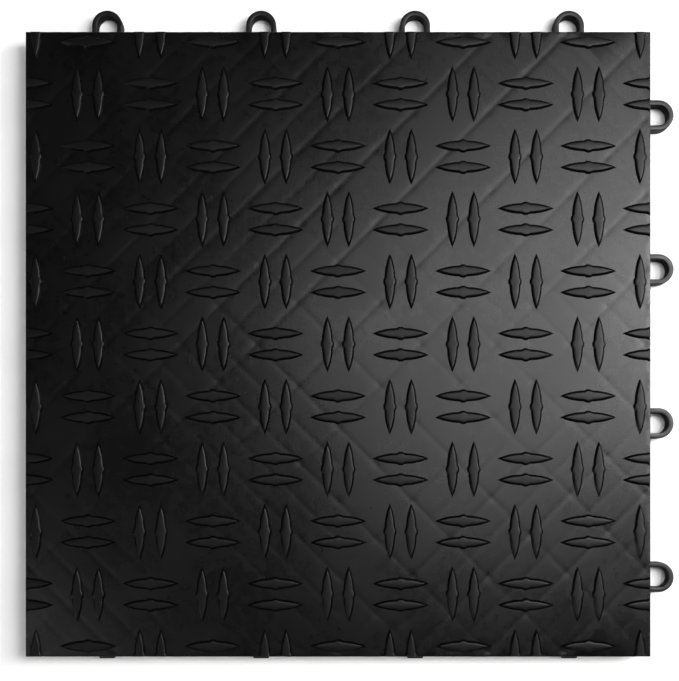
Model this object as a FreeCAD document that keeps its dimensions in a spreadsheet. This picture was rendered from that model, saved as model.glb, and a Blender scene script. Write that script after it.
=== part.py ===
"""Interlocking floor tile with a diamond tread, in millimetres.

The origin is on the floor, under the middle of the square deck, at the underside of the middle support post.
+Z is up, +Y is "back" and +X is "right": those two sides carry the connector loops. The "front" (-Y) and
"left" (-X) sides carry the pegs and snap tongues that take hold of the next tile's loops.
The real tile is one moulding. Each sub-part here is one region of it, and they meet face to face.
"""

import FreeCAD
import Part
import Sketcher
import math
import os
import re

Vector = FreeCAD.Vector

# Driving dimensions: alias, value, meaning. Depths and reaches count from the deck's edge.
DIMENSIONS = [
    ("tile_size", 304.8, "side of the square deck, 12 in"),
    ("deck_top", 12.7, "height of the deck's upper face, 1/2 in"),
    ("deck_thick", 2.0, "deck plate thickness"),
    ("rim_radius", 0.5, "rounding of the deck's upper edge"),
    ("lug_cells", 10, "tread cells along one side"),
    ("lug_length", 27.3, "tread lug, tip to tip"),
    ("lug_width", 5.3, "tread lug, widest part of the body"),
    ("lug_height", 1.1, "tread lug above the deck"),
    ("lug_spacing", 10.45, "between the centre lines of the two lugs of a pair"),
    ("lug_draft", 0.95, "how far a lug's flanks lean in over its height"),
    ("nub_width", 6.5, "across the two small points at the middle of a lug"),
    ("nub_length", 3.6, "length of those points along the lug's edge"),
    ("edge_relief", 0.3, "side walls stand this far inside the deck's edge"),
    ("skirt_thick", 1.8, "side wall thickness"),
    ("skirt_bottom", 0.5, "gap between the side walls and the floor"),
    ("station_pitch", 76.2, "between connectors, 3 in"),
    ("station_count", 4, "connectors on each side"),
    ("loop_outer", 7.45, "outer radius of a loop"),
    ("loop_inner", 5.0, "inner radius of a loop"),
    ("loop_reach", 6.2, "centre of a loop beyond the deck's edge"),
    ("loop_height", 5.8, "height of a loop"),
    ("loop_round", 0.4, "rounding of a loop's upper edges"),
    ("catch_height", 6.0, "top of the notch that a snap hook catches under"),
    ("catch_depth", 6.5, "clear depth behind that notch"),
    ("pocket_width", 16.0, "clear width for the next tile's loop"),
    ("pocket_depth", 14.2, "clear depth for the next tile's loop"),
    ("pocket_height", 6.2, "clear height in the side wall for the next tile's loop"),
    ("peg_radius", 3.0, "peg that drops into the next tile's loop"),
    ("peg_core", 1.5, "radius of the hollow in a peg"),
    ("peg_inset", 8.0, "depth of a peg's centre"),
    ("peg_bottom", 1.0, "gap between a peg and the floor"),
    ("peg_chamfer", 0.5, "lead-in on a peg's end"),
    ("slot_width", 10.0, "slot in the side wall that a snap tongue hangs in"),
    ("tongue_width", 9.4, "snap tongue across"),
    ("tongue_tip_width", 7.3, "snap hook across its tip"),
    ("tongue_thick", 1.3, "snap tongue thickness"),
    ("tongue_inset", 0.2, "depth of a snap tongue's outer face"),
    ("tongue_root", 9.8, "height of the line that a snap tongue bends about"),
    ("tongue_bottom", 2.2, "gap between a snap tongue and the floor"),
    ("hook_top", 5.5, "height of the hook's face that catches"),
    ("hook_nose", 4.3, "height where the hook's sloping lead-in ends"),
    ("hook_reach", 2.0, "hook beyond the deck's edge"),
    ("hook_round", 0.6, "rounding of the hook's tip corners"),
    ("rib_pitch", 36.5, "x + y grows by this from one rib to the next of its kind"),
    ("rib_first", 40.2, "x + y on the first main rib off the middle"),
    ("main_rib_thick", 1.5, "main rib thickness"),
    ("main_rib_bottom", 2.2, "lower edge of the main ribs"),
    ("main_lap", 6.2, "at a crossing the rising rib runs through above this height"),
    ("diamond_rib_thick", 1.2, "diamond rib thickness"),
    ("diamond_rib_bottom", 6.2, "lower edge of the diamond ribs"),
    ("diamond_lap", 8.4, "diamond ribs run through below this height, main ribs above"),
    ("foot_radius", 2.4, "support post"),
    ("foot_chamfer", 0.4, "lower edge of a support post"),
]

# The four sides: turn about Z from the back, and the sense in which their connectors are numbered.
SIDES = {"back": (0, 1), "left": (90, 1), "front": (180, -1), "right": (270, -1)}
LOOP_SIDES = ("back", "right")
PEG_SIDES = ("front", "left")
# The signs of x and y in each quarter of the tile.
QUARTERS = {
    "back_right": (1, 1),
    "back_left": (-1, 1),
    "front_left": (-1, -1),
    "front_right": (1, -1),
}
# How a sketch numbers the points of its lines and arcs, and where its own origin is.
FIRST_POINT, LAST_POINT, CENTRE_POINT = 1, 2, 3
ORIGIN = (-1, FIRST_POINT)
# Lengths and volumes that differ by less than this are the same.
TOUCH = 1e-4

doc = FreeCAD.newDocument("FloorTile")
sheet = doc.addObject("Spreadsheet::Sheet", "Dimensions")
for row, (alias, number, meaning) in enumerate(DIMENSIONS, 1):
    sheet.set(f"A{row}", alias.replace("_", " "))
    sheet.set(f"B{row}", str(number))
    sheet.setAlias(f"B{row}", alias)
    sheet.set(f"C{row}", meaning)
doc.recompute()


def bound(expression):
    """An expression on the sheet's aliases, as the other objects have to write it."""
    return re.sub(r"[a-z_]+", lambda word: f"Dimensions.{word.group()}", expression)


def size(expression):
    """The number that such an expression gives now."""
    return float(sheet.evalExpression(bound(expression)))


# ---- sketches and features ----


def new_body(label):
    body = doc.addObject("PartDesign::Body", label)
    body.Label = label
    return body


def place(body, side, along, up="0"):
    """Stands a body's own origin on one side's deck edge, its +Y outwards, along the side by a length."""
    turn = SIDES[side][0]
    cos, sin = round(math.cos(math.radians(turn))), round(math.sin(math.radians(turn)))
    body.Placement = FreeCAD.Placement(Vector(), FreeCAD.Rotation(Vector(0, 0, 1), turn))
    body.setExpression("Placement.Base.x", bound(f"{cos} * ({along}) - {sin} * tile_size / 2"))
    body.setExpression("Placement.Base.y", bound(f"{sin} * ({along}) + {cos} * tile_size / 2"))
    body.setExpression("Placement.Base.z", bound(up))


def new_sketch(body, plane, name, lift="0"):
    """A sketch on one of the body's own origin planes, lifted off it along its normal."""
    support = next(f for f in body.Origin.OriginFeatures if f.Role == plane)
    sketch = body.newObject("Sketcher::SketchObject", name)
    sketch.AttachmentSupport = [(support, "")]
    sketch.MapMode = "FlatFace"
    sketch.setExpression("AttachmentOffset.Base.z", bound(lift))
    return sketch


def dimension(sketch, kind, name, expression, *geometry):
    """Adds a named constraint whose value follows an expression on the sheet."""
    index = sketch.addConstraint(Sketcher.Constraint(kind, *geometry, size(expression)))
    sketch.renameConstraint(index, name)
    sketch.setExpression(f"Constraints.{name}", bound(expression))


def locate(sketch, name, geometry, point, x, y):
    """Holds one point of the sketch at the given place."""
    dimension(sketch, "DistanceX", f"{name}_x", x, *ORIGIN, geometry, point)
    dimension(sketch, "DistanceY", f"{name}_y", y, *ORIGIN, geometry, point)


def outline(sketch, corners):
    """A closed polygon. Each corner is a pair of expressions."""
    at = [Vector(size(x), size(y), 0) for x, y in corners]
    start = sketch.GeometryCount
    count = len(corners)
    for i in range(count):
        sketch.addGeometry(Part.LineSegment(at[i], at[(i + 1) % count]), False)
    for i, (x, y) in enumerate(corners):
        after = start + (i + 1) % count
        sketch.addConstraint(Sketcher.Constraint("Coincident", start + i, LAST_POINT, after, FIRST_POINT))
        locate(sketch, f"corner_{start + i}", start + i, FIRST_POINT, x, y)


def circle(sketch, radius, x="0", y="0"):
    centre = Vector(size(x), size(y), 0)
    index = sketch.addGeometry(Part.Circle(centre, Vector(0, 0, 1), size(radius)), False)
    locate(sketch, f"centre_{index}", index, CENTRE_POINT, x, y)
    dimension(sketch, "Radius", f"radius_{index}", radius, index)


def pad(body, sketch, name, length, symmetric=False):
    feature = body.newObject("PartDesign::Pad", name)
    feature.Profile = sketch
    feature.SideType = "Symmetric" if symmetric else "One side"
    feature.setExpression("Length", bound(length))
    sketch.Visibility = False
    return feature


def pocket(body, sketch, name):
    """Cuts the sketch's outline right through the body, both ways from the sketch."""
    before = body.Tip.Shape.Volume
    feature = body.newObject("PartDesign::Pocket", name)
    feature.Profile = sketch
    feature.SideType = "Symmetric"
    feature.Type = "ThroughAll"
    doc.recompute()
    if feature.Shape.Volume > before - TOUCH:
        raise RuntimeError(f"{body.Label}: {name} cuts nothing")
    return feature


def repeat(body, feature, name, sketch):
    """Repeats a feature at every connector along the sketch's horizontal axis."""
    pattern = body.newObject("PartDesign::LinearPattern", name)
    pattern.Originals = [feature]
    pattern.Direction = (sketch, ["H_Axis"])
    pattern.setExpression("Length", bound("station_pitch * (station_count - 1)"))
    pattern.setExpression("Occurrences", bound("station_count"))
    body.Tip = pattern
    return pattern


def edges_where(feature, test):
    """Names of the feature's edges whose ends and middle all pass the test."""
    doc.recompute()
    names = []
    for i, edge in enumerate(feature.Shape.Edges, 1):
        middle = edge.valueAt((edge.FirstParameter + edge.LastParameter) / 2)
        if all(test(p) for p in [middle, *(v.Point for v in edge.Vertexes)]):
            names.append(f"Edge{i}")
    if not names:
        raise RuntimeError(f"{feature.Label}: no such edges")
    return names


def soften(body, kind, feature, name, amount, test):
    """A Fillet or Chamfer on the feature's edges that pass the test."""
    edges = edges_where(feature, test)
    softened = body.newObject(f"PartDesign::{kind}", name)
    softened.Base = (feature, edges)
    softened.setExpression("Radius" if kind == "Fillet" else "Size", bound(amount))
    return softened


def near(a, b):
    return abs(a - b) < TOUCH


def stations(side):
    """The connectors of a side, numbered from the left or from the front: (number, place along it)."""
    sense = SIDES[side][1]
    for number in range(1, int(size("station_count")) + 1):
        yield number, f"{sense} * station_pitch * ({number} - (station_count + 1) / 2)"


# ---- the sub-parts ----


def make_deck():
    """The plate that is walked on. Its upper edge is rounded all the way round."""
    body = new_body("tread_deck")
    plan = new_sketch(body, "XY_Plane", "deck_plan", "deck_top - deck_thick")
    far, near_side = "tile_size / 2", "-tile_size / 2"
    outline(plan, [(near_side, near_side), (far, near_side), (far, far), (near_side, far)])
    plate = pad(body, plan, "deck_plate", "deck_thick")
    top = size("deck_top")
    soften(body, "Fillet", plate, "deck_rim", "rim_radius", lambda p: near(p.z, top))
    return body


def make_skirt(side):
    """One side wall, mitred at the corners. Loops need a catch notch, tongues a slot over a wide notch."""
    body = new_body(f"skirt_{side}")
    place(body, side, "0")
    plan = new_sketch(body, "XY_Plane", "wall_plan", "skirt_bottom")
    outer, inner = "-edge_relief", "-edge_relief - skirt_thick"
    long_half, short_half = f"tile_size / 2 {outer}", f"tile_size / 2 {inner}"
    outline(
        plan,
        [
            (f"-({long_half})", outer),
            (f"-({short_half})", inner),
            (short_half, inner),
            (long_half, outer),
        ],
    )
    pad(body, plan, "wall", "deck_top - deck_thick - skirt_bottom")
    doc.recompute()

    notch = new_sketch(body, "XZ_Plane", "notch_face")
    first = "-station_pitch * (station_count - 1) / 2"
    if side in LOOP_SIDES:
        reach, top = "loop_inner", "catch_height"
        half_outline = [(reach, "0"), (reach, top)]
    else:
        wide, narrow, top = "pocket_width / 2", "slot_width / 2", "pocket_height"
        half_outline = [(wide, "0"), (wide, top), (narrow, top), (narrow, "deck_top")]
    right = [(f"{first} + {x}", y) for x, y in half_outline]
    left = [(f"{first} - {x}", y) for x, y in reversed(half_outline)]
    outline(notch, right + left)
    opening = pocket(body, notch, "notch")
    repeat(body, opening, "notches", notch)
    return body


def make_loop(side, number, along):
    """A U-shaped eye that reaches out under the next tile, with rounded upper edges."""
    body = new_body(f"loop_{side}_{number}")
    place(body, side, along)
    plan = new_sketch(body, "XY_Plane", "loop_plan")
    centre = Vector(0, size("loop_reach"), 0)
    root = -size("edge_relief")
    arms = []
    for radius in ("loop_outer", "loop_inner"):
        r = size(radius)
        full = Part.Circle(centre, Vector(0, 0, 1), r)
        bend = plan.addGeometry(Part.ArcOfCircle(full, 0, math.pi), False)
        right = plan.addGeometry(Part.LineSegment(Vector(r, root, 0), centre + Vector(r, 0, 0)), False)
        left = plan.addGeometry(Part.LineSegment(centre - Vector(r, 0, 0), Vector(-r, root, 0)), False)
        locate(plan, radius, bend, CENTRE_POINT, "0", "loop_reach")
        dimension(plan, "Radius", f"{radius}_radius", radius, bend)
        for arm, arc_end, arm_end in ((right, FIRST_POINT, LAST_POINT), (left, LAST_POINT, FIRST_POINT)):
            plan.addConstraint(Sketcher.Constraint("Coincident", bend, arc_end, arm, arm_end))
            plan.addConstraint(Sketcher.Constraint("Vertical", arm))
        dimension(plan, "DistanceY", f"{radius}_right", "-edge_relief", *ORIGIN, right, FIRST_POINT)
        dimension(plan, "DistanceY", f"{radius}_left", "-edge_relief", *ORIGIN, left, LAST_POINT)
        # an arc's ends lie level with its centre, which makes it half a circle
        plan.addConstraint(Sketcher.Constraint("Horizontal", bend, FIRST_POINT, bend, CENTRE_POINT))
        plan.addConstraint(Sketcher.Constraint("Horizontal", bend, LAST_POINT, bend, CENTRE_POINT))
        arms.append((right, left))
    (outer_right, outer_left), (inner_right, inner_left) = arms
    for a, b, point in ((inner_right, outer_right, FIRST_POINT), (outer_left, inner_left, LAST_POINT)):
        ends = [plan.getPoint(line, point) for line in (a, b)]
        foot = plan.addGeometry(Part.LineSegment(*ends), False)
        plan.addConstraint(Sketcher.Constraint("Coincident", foot, FIRST_POINT, a, point))
        plan.addConstraint(Sketcher.Constraint("Coincident", foot, LAST_POINT, b, point))
    band = pad(body, plan, "band", "loop_height")
    top = size("loop_height")
    foot_middle = size("(loop_outer + loop_inner) / 2")

    def on_rim(p):
        return near(p.z, top) and not (near(p.y, root) and near(abs(p.x), foot_middle))

    soften(body, "Fillet", band, "band_rim", "loop_round", on_rim)
    return body


def make_peg(side, number, along):
    """A round peg under the deck, hollow from its lower end up to the deck."""
    body = new_body(f"peg_{side}_{number}")
    place(body, side, along)
    plan = new_sketch(body, "XY_Plane", "peg_plan", "peg_bottom")
    circle(plan, "peg_radius", "0", "-peg_inset")
    circle(plan, "peg_core", "0", "-peg_inset")
    post = pad(body, plan, "post", "deck_top - deck_thick - peg_bottom")
    bottom, radius = size("peg_bottom"), size("peg_radius")
    axis = -size("peg_inset")
    soften(
        body,
        "Chamfer",
        post,
        "lead_in",
        "peg_chamfer",
        lambda p: near(p.z, bottom) and near(math.hypot(p.x, p.y - axis), radius),
    )
    return body


def make_tongue(side, number, along):
    """A snap tongue: a flat strip with a round root, and a hook that tapers towards its tip."""
    body = new_body(f"snap_tongue_{side}_{number}")
    place(body, side, along)
    outer, inner = "-tongue_inset", "-tongue_inset - tongue_thick"
    middle = "-tongue_inset - tongue_thick / 2"

    strip = new_sketch(body, "YZ_Plane", "strip_profile")
    outline(
        strip,
        [(inner, "tongue_bottom"), (outer, "tongue_bottom"), (outer, "tongue_root"), (inner, "tongue_root")],
    )
    pad(body, strip, "strip", "tongue_width", symmetric=True)
    root = new_sketch(body, "YZ_Plane", "root_profile")
    circle(root, "tongue_thick / 2", middle, "tongue_root")
    pad(body, root, "round_root", "tongue_width", symmetric=True)

    hook = new_sketch(body, "YZ_Plane", "hook_profile")
    outline(
        hook,
        [
            (middle, "tongue_bottom"),
            (outer, "tongue_bottom"),
            ("hook_reach", "hook_nose"),
            ("hook_reach", "hook_top"),
            (middle, "hook_top"),
        ],
    )
    pad(body, hook, "hook", "tongue_width", symmetric=True)
    doc.recompute()

    wide, tip = "tongue_width / 2", "tongue_tip_width / 2"
    beyond = "hook_reach * 2 + tongue_inset"
    # the flank runs on past the tip with the same slope
    past_tip = f"({tip}) - (({wide}) - ({tip})) * ({beyond} - hook_reach) / (hook_reach + tongue_inset)"
    for sense, name in (("1", "right"), ("-1", "left")):
        flank = new_sketch(body, "XY_Plane", f"{name}_flank")
        outline(
            flank,
            [
                (f"{sense} * ({wide})", outer),
                (f"{sense} * ({wide}) * 2", outer),
                (f"{sense} * ({wide}) * 2", beyond),
                (f"{sense} * ({past_tip})", beyond),
            ],
        )
        tapered = pocket(body, flank, f"{name}_taper")
    reach = size("hook_reach")
    soften(
        body,
        "Fillet",
        tapered,
        "tip_corners",
        "hook_round",
        lambda p: near(p.y, reach) and near(abs(p.x), size(tip)),
    )
    return body


# ---- repeated bars, lugs and posts, which have no sketch of their own ----


def add_shape(label, solids):
    """A node made of many separate solids."""
    feature = doc.addObject("Part::Feature", label)
    feature.Label = label
    feature.Shape = Part.makeCompound([s for shape in solids for s in shape.Solids])
    feature.Placement = FreeCAD.Placement()
    return feature


def make_lug():
    """One tread lug along X on the floor plane: a lens with leaning flanks and a small point each side."""
    length, width, nub = size("lug_length / 2"), size("lug_width / 2"), size("nub_width / 2")
    height, draft = size("lug_height"), size("lug_draft")

    def lens(half_length, half_width, z):
        left, right = Vector(-half_length, 0, z), Vector(half_length, 0, z)
        far = Part.Arc(right, Vector(0, half_width, z), left).toShape()
        near_side = Part.Arc(left, Vector(0, -half_width, z), right).toShape()
        return Part.Wire([far, near_side])

    def points(half_width, half_nub, z):
        """A long rhombus that leaves the lens's edge over the length of the points."""
        half_length = size("nub_length / 2") * half_nub / (half_nub - half_width)
        corners = [(-half_length, 0), (0, -half_nub), (half_length, 0), (0, half_nub)]
        ring = [Vector(x, y, z) for x, y in corners]
        return Part.makePolygon(ring + ring[:1])

    # leaning in by the draft all round takes more off a lens's pointed ends than off its sides
    top_width, top_nub = width - draft, nub - draft
    top_length = length * math.sqrt(top_width / width)
    solid, ruled = True, True
    body = Part.makeLoft([lens(length, width, 0), lens(top_length, top_width, height)], solid, ruled)
    nubs = Part.makeLoft([points(width, nub, 0), points(top_width, top_nub, height)], solid, ruled)
    return body.fuse(nubs).removeSplitter()


def make_lugs():
    """Pairs of lugs on a square grid, turned by 90 degrees from each cell to the next, cut at the rim."""
    lug = make_lug()
    pitch = size("tile_size / lug_cells")
    half, spread, top = size("tile_size / 2"), size("lug_spacing / 2"), size("deck_top")
    limit = half - size("rim_radius")
    field = Part.makeBox(2 * limit, 2 * limit, size("deck_top"), Vector(-limit, -limit, top))
    rows = {"lengthwise": [], "crosswise": []}
    for i in range(int(size("lug_cells")) + 1):
        for j in range(int(size("lug_cells")) + 1):
            lengthwise = (i + j) % 2 == 0
            for offset in (-spread, spread):
                copy = lug.copy()
                if lengthwise:
                    copy.rotate(Vector(), Vector(0, 0, 1), 90)
                across = Vector(offset, 0, 0) if lengthwise else Vector(0, offset, 0)
                copy.translate(across + Vector(i * pitch - half, j * pitch - half, top))
                box = copy.BoundBox
                if max(-box.XMin, box.XMax, -box.YMin, box.YMax) > limit:
                    copy = copy.common(field)
                rows["lengthwise" if lengthwise else "crosswise"].append(copy)
    return [add_shape(f"tread_lugs_{name}", solids) for name, solids in rows.items()]


def core_space():
    """The space inside the side walls that ribs and posts may fill: clear of every connector."""
    half = size("tile_size / 2 - edge_relief - skirt_thick")
    height = size("deck_top - deck_thick")
    space = Part.makeBox(2 * half, 2 * half, height, Vector(-half, -half, 0))
    clearances = []
    for side, (turn, _) in SIDES.items():
        if side in LOOP_SIDES:
            wide, deep = size("2 * loop_inner"), size("catch_depth")
        else:
            wide, deep = size("pocket_width"), size("pocket_depth")
        for _, along in stations(side):
            corner = Vector(size(along) - wide / 2, size("tile_size / 2") - deep, 0)
            column = Part.makeBox(wide, deep, height, corner)
            column.rotate(Vector(), Vector(0, 0, 1), turn)
            clearances.append(column)
    return space.cut(Part.makeCompound(clearances))


def bars(sense, offsets, thick, low, high):
    """Bars at 45 degrees with x + sense * y equal to each offset, far longer than the tile."""
    long = size("tile_size") * 2
    turn = -45 * sense
    made = []
    for offset in offsets:
        bar = Part.makeBox(long, thick, high - low, Vector(-long / 2, -thick / 2, low))
        bar.rotate(Vector(), Vector(0, 0, 1), turn)
        bar.translate(Vector(offset / 2, sense * offset / 2, 0))
        made.append(bar)
    return Part.makeCompound(made)


def main_offsets():
    limit = size("tile_size - 2 * (edge_relief + skirt_thick)")
    first, pitch = size("rib_first"), size("rib_pitch")
    steps = [first + pitch * k for k in range(int((limit - first) / pitch) + 1)]
    return [0.0] + steps + [-s for s in steps]


def diamond_offsets():
    limit = size("tile_size - 2 * (edge_relief + skirt_thick)")
    first, pitch = size("rib_first + rib_pitch / 2"), size("rib_pitch")
    return [first + pitch * k for k in range(int((limit - first) / pitch) + 1)]


def quarter_bars(signs, low, high):
    """The sides of the concentric diamonds that lie in one quarter of the tile."""
    sx, sy = signs
    half = size("tile_size / 2")
    offsets = [sx * c for c in diamond_offsets()]
    made = bars(sx * sy, offsets, size("diamond_rib_thick"), low, high)
    quarter = Part.makeBox(half, half, size("deck_top"), Vector(min(sx, 0) * half, min(sy, 0) * half, 0))
    return made.common(quarter)


def make_ribs(space):
    """Main ribs in two crossing families, and the diamond ribs between them, lapped where they cross."""
    thick, bottom = size("main_rib_thick"), size("main_rib_bottom")
    top, lap = size("deck_top - deck_thick"), size("main_lap")
    low, through = size("diamond_rib_bottom"), size("diamond_lap")
    offsets = main_offsets()
    rising_upper = bars(-1, offsets, thick, lap, top)
    falling_lower = bars(1, offsets, thick, bottom, lap)
    families = {"rising": (-1, falling_lower), "falling": (1, rising_upper)}
    diamonds = {name: quarter_bars(signs, low, through) for name, signs in QUARTERS.items()}
    made = []
    for name, (sense, others) in families.items():
        ribs = bars(sense, offsets, thick, bottom, top).common(space).cut(others)
        for quarter, signs in QUARTERS.items():
            if signs[0] * signs[1] != sense:
                ribs = ribs.cut(diamonds[quarter])
        made.append(add_shape(f"main_ribs_{name}", [ribs]))
    for quarter, signs in QUARTERS.items():
        crossing = bars(-signs[0] * signs[1], offsets, thick, through, top)
        ribs = quarter_bars(signs, low, top).common(space).cut(crossing)
        made.append(add_shape(f"diamond_ribs_{quarter}", [ribs]))
    return made


def make_feet(space):
    """A round post from the floor to the deck at each crossing of main ribs, clear of walls and connectors.

    Above the ribs' lower edges it fills the four corners between them.
    """
    radius, edge, top = size("foot_radius"), size("foot_chamfer"), size("deck_top - deck_thick")
    tread = Part.makeCone(radius - edge, radius, edge)
    stem = Part.makeCylinder(radius, top - edge, Vector(0, 0, edge))
    ribs = [bars(sense, [0.0], size("main_rib_thick"), size("main_rib_bottom"), top) for sense in (-1, 1)]
    post = tread.fuse(stem).removeSplitter().cut(ribs)
    posts = []
    for rising in main_offsets():
        for falling in main_offsets():
            copy = post.translated(Vector((falling + rising) / 2, (falling - rising) / 2, 0))
            if near(copy.common(space).Volume, post.Volume):
                posts.append(copy)
    return add_shape("support_feet", posts)


# ---- build, check and write ----

parts = [make_deck(), *make_lugs()]
for side_name in SIDES:
    parts.append(make_skirt(side_name))
    for number, along in stations(side_name):
        if side_name in LOOP_SIDES:
            parts.append(make_loop(side_name, number, along))
        else:
            parts.append(make_peg(side_name, number, along))
            parts.append(make_tongue(side_name, number, along))
clear_space = core_space()
parts += make_ribs(clear_space)
parts.append(make_feet(clear_space))
doc.recompute()

for obj in doc.Objects:
    if "Invalid" in obj.State or "Error" in obj.State:
        raise RuntimeError(f"{obj.Label} failed: {obj.State}")
os.makedirs("parts", exist_ok=True)
for part in parts:
    if part.Shape.isNull() or not part.Shape.isValid():
        raise RuntimeError(f"{part.Label} has no valid shape")
for part in parts:
    part.Shape.exportStep(f"parts/{part.Label}.step")
    print(f"{part.Label}: {len(part.Shape.Solids)} solids, {part.Shape.Volume:.1f} mm3")
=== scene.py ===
"""Looks of the interlocking floor tile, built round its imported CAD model. Lengths are in metres.

The tile's back (+Y) and right (+X) sides carry the loops. The other two carry the pegs and snap tongues.
"""

import math

import bmesh
import bpy
from mathutils import Matrix, Vector, noise


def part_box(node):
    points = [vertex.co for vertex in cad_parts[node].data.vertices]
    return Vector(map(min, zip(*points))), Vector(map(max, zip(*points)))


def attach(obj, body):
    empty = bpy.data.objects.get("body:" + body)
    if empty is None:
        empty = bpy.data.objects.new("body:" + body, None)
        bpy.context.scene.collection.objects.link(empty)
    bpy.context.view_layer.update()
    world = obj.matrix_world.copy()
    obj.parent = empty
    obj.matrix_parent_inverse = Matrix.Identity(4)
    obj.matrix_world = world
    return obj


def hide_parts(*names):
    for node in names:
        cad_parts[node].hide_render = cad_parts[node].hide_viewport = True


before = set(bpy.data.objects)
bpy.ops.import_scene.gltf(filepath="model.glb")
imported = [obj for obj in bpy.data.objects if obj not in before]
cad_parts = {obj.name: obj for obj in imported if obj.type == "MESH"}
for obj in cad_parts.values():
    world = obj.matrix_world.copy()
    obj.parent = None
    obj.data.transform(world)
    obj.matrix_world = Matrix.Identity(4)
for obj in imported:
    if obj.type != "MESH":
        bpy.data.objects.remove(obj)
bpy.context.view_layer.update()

MM = 0.001
ROOT2 = math.sqrt(2)

# ---- sizes that the CAD model gives ----
deck_low, deck_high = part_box("tread_deck")
HALF, DECK_TOP, DECK_UNDER = deck_high.x, deck_high.z, deck_low.z
loop_low, loop_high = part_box("loop_back_1")
LOOP_OUTER, LOOP_HEIGHT = (loop_high.x - loop_low.x) / 2, loop_high.z
LOOP_REACH = loop_high.y - HALF - LOOP_OUTER
TONGUE_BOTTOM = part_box("snap_tongue_front_1")[0].z
PEG_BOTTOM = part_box("peg_front_1")[0].z
WALL_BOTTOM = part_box("skirt_back")[0].z

# ---- sizes of the mould, as in the CAD model ----
RIM = 0.5 * MM
LUG_CELLS = 10
CELL = 2 * HALF / LUG_CELLS
LUG_LENGTH, LUG_WIDTH, LUG_SPACING = 27.3 * MM, 5.3 * MM, 10.45 * MM
NUB_REACH, NUB_FLAT, NUB_LENGTH = 0.6 * MM, 1.1 * MM, 4.2 * MM
LOOP_INNER = 5.0 * MM
RIB_FIRST, RIB_PITCH = 40.2 * MM, 36.5 * MM
WALL_INSET, WALL_THICK = 0.3 * MM, 1.8 * MM
MAIN_RIB_BOTTOM, DIAMOND_RIB_BOTTOM = 2.2 * MM, 6.2 * MM
MAIN_RIB_THICK, DIAMOND_RIB_THICK = 1.5 * MM, 1.2 * MM
CATCH_WIDTH, CATCH_HEIGHT, CATCH_DEPTH = 10.0 * MM, 6.0 * MM, 6.5 * MM
POCKET_WIDTH, POCKET_HEIGHT, POCKET_DEPTH = 16.0 * MM, 6.2 * MM, 14.2 * MM
SLOT_WIDTH = 10.0 * MM
PEG_RADIUS, PEG_CORE = 3.0 * MM, 1.5 * MM
POST_RADIUS = 2.4 * MM
TONGUE_WIDTH, TONGUE_TIP, TONGUE_THICK, TONGUE_INSET = 9.4 * MM, 7.3 * MM, 1.3 * MM, 0.2 * MM
TONGUE_ROOT = 9.8 * MM
HOOK_NOSE, HOOK_TOP, HOOK_REACH = 4.3 * MM, 5.5 * MM, 2.0 * MM

# The four sides, as turns about Z from the back. Loops are on two of them, pegs and tongues on the others.
TURNS = {"back": 0, "left": 90, "front": 180, "right": 270}
LOOP_SIDES = ("back", "right")
STATIONS = range(1, 5)
# The signs of x and y in each quarter of the tile.
QUARTERS = {"back_right": (1, 1), "back_left": (-1, 1), "front_left": (-1, -1), "front_right": (1, -1)}

# ---- what only shows on the surface ----
SINK_DEPTH, SINK_REACH = 0.055 * MM, 2.2 * MM
FAINT_SINK_DEPTH, FAINT_SINK_REACH = 0.035 * MM, 2.2 * MM
DIMPLE_DEPTH, DIMPLE_REACH = 0.05 * MM, 3.2 * MM
WAVE_DEPTH, WAVE_LENGTH = 0.05 * MM, 45 * MM
# The falling ribs' grooves as a share of the rising ones', and how far from the rim all grooves fade out.
FALLING_SHARE, EDGE_FADE = 0.6, 2 * MM

# Points no further apart than this are the same point.
SAME_POINT = 1e-7


# ---- meshes ----


def finish_mesh(name, bm, material, replaced, body="tile", crease=40):
    """Makes the piece, shades it smooth up to the crease angle, and lets it stand for CAD nodes."""
    bmesh.ops.recalc_face_normals(bm, faces=bm.faces)
    mesh = bpy.data.meshes.new(name)
    bm.to_mesh(mesh)
    bm.free()
    mesh.materials.append(material)
    mesh.polygons.foreach_set("use_smooth", [True] * len(mesh.polygons))
    mesh.set_sharp_from_angle(angle=math.radians(crease))
    piece = bpy.data.objects.new(name, mesh)
    bpy.context.scene.collection.objects.link(piece)
    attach(piece, body)
    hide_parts(*replaced)
    return piece


def add_grid(bm, rows):
    """Joins rows of points, all equally long, into a sheet of quads."""
    made = [[bm.verts.new(p) for p in row] for row in rows]
    for a, b in zip(made, made[1:]):
        for i in range(len(a) - 1):
            bm.faces.new((a[i], a[i + 1], b[i + 1], b[i]))
    return made


def add_tube(bm, rings):
    """Closed rings joined one to the next, with a face over each end."""
    made = [[bm.verts.new(p) for p in ring] for ring in rings]
    count = len(made[0])
    for a, b in zip(made, made[1:]):
        for i in range(count):
            after = (i + 1) % count
            bm.faces.new((a[i], a[after], b[after], b[i]))
    bm.faces.new(made[0])
    bm.faces.new(reversed(made[-1]))


def add_lathe(bm, profile, centre, steps):
    """Turns a closed profile of (radius, height) pairs round a vertical axis."""
    rings = []
    for k in range(steps):
        a = 2 * math.pi * k / steps
        turn = Vector((math.cos(a), math.sin(a), 0))
        rings.append([bm.verts.new(centre + turn * r + Vector((0, 0, z))) for r, z in profile])
    count = len(profile)
    for k in range(steps):
        a, b = rings[k], rings[(k + 1) % steps]
        for i in range(count):
            after = (i + 1) % count
            bm.faces.new((a[i], a[after], b[after], b[i]))


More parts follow.
